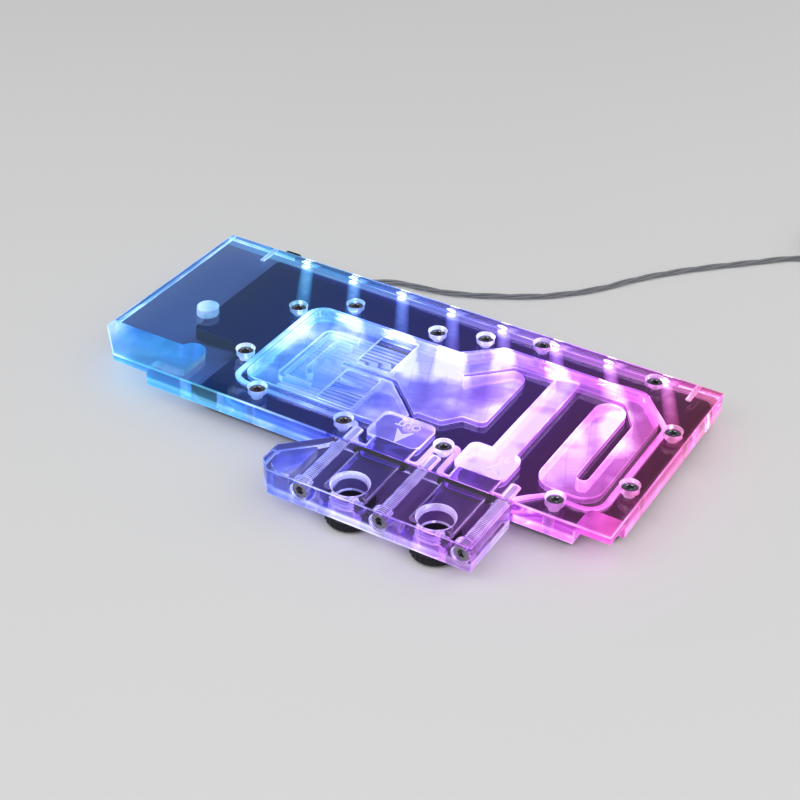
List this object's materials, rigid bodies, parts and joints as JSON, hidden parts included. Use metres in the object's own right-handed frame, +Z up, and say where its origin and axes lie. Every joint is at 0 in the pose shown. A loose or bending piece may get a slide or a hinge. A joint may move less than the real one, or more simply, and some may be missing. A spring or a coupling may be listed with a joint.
{
  "type": "gpu water block",
  "caption": "Clear acrylic cover with milled coolant channels on a nickel-plated cold plate, with a ported terminal block and edge lighting on a lead.",
  "frame": {"origin": "middle of the block's footprint, on the plane under the cold plate's contact pads", "axes": "+X along the cover from the bare end to the power stage end, +Y from the terminal block to the lit edge, +Z up through the cover's top face"},
  "size_m": [0.2599, 0.33, 0.0165],
  "materials": {
    "acrylic": "clear polished acrylic, frosted where it is milled",
    "nickel": "nickel-plated copper, polished",
    "silicone": "satin",
    "black_rubber": "matte",
    "steel": "bright stainless",
    "black_metal": "black anodised, knurled",
    "strip_board": "white solder mask",
    "light": "clear encapsulant",
    "nylon": "clear nylon",
    "lead": "satin PVC",
    "black_plastic": "moulded"
  },
  "bodies": {
    "root": {"acrylic_cover": "acrylic", "terminal_block": "acrylic", "cold_plate": "nickel", "main_gasket": "silicone", "outlet_seal": "black_rubber", "inlet_seal": "black_rubber", "outlet_plug_seal": "black_rubber", "inlet_plug_seal": "black_rubber", "cover_screw_1": "steel", "cover_screw_2": "steel", "cover_screw_3": "steel", "cover_screw_4": "steel", "cover_screw_5": "steel", "cover_screw_6": "steel", "cover_screw_7": "steel", "cover_screw_8": "steel", "cover_screw_9": "steel", "cover_screw_10": "steel", "cover_screw_11": "steel", "cover_screw_12": "steel", "cover_screw_13": "steel", "terminal_screw_left": "steel", "terminal_screw_middle": "steel", "terminal_screw_right": "steel", "outlet_plug": "black_metal", "inlet_plug": "black_metal", "led_strip": "strip_board", "led_1": "light", "led_2": "light", "led_3": "light", "led_4": "light", "led_5": "light", "led_6": "light", "led_7": "light", "led_8": "light", "edge_pin_left": "nylon", "edge_pin_right": "nylon", "led_lead": "lead", "led_lead_coil": "lead", "lead_sleeve": "lead", "coil_tie_left": "black_plastic", "coil_tie_right": "black_plastic", "led_connector": "black_plastic"}
  },
  "joints": []
}
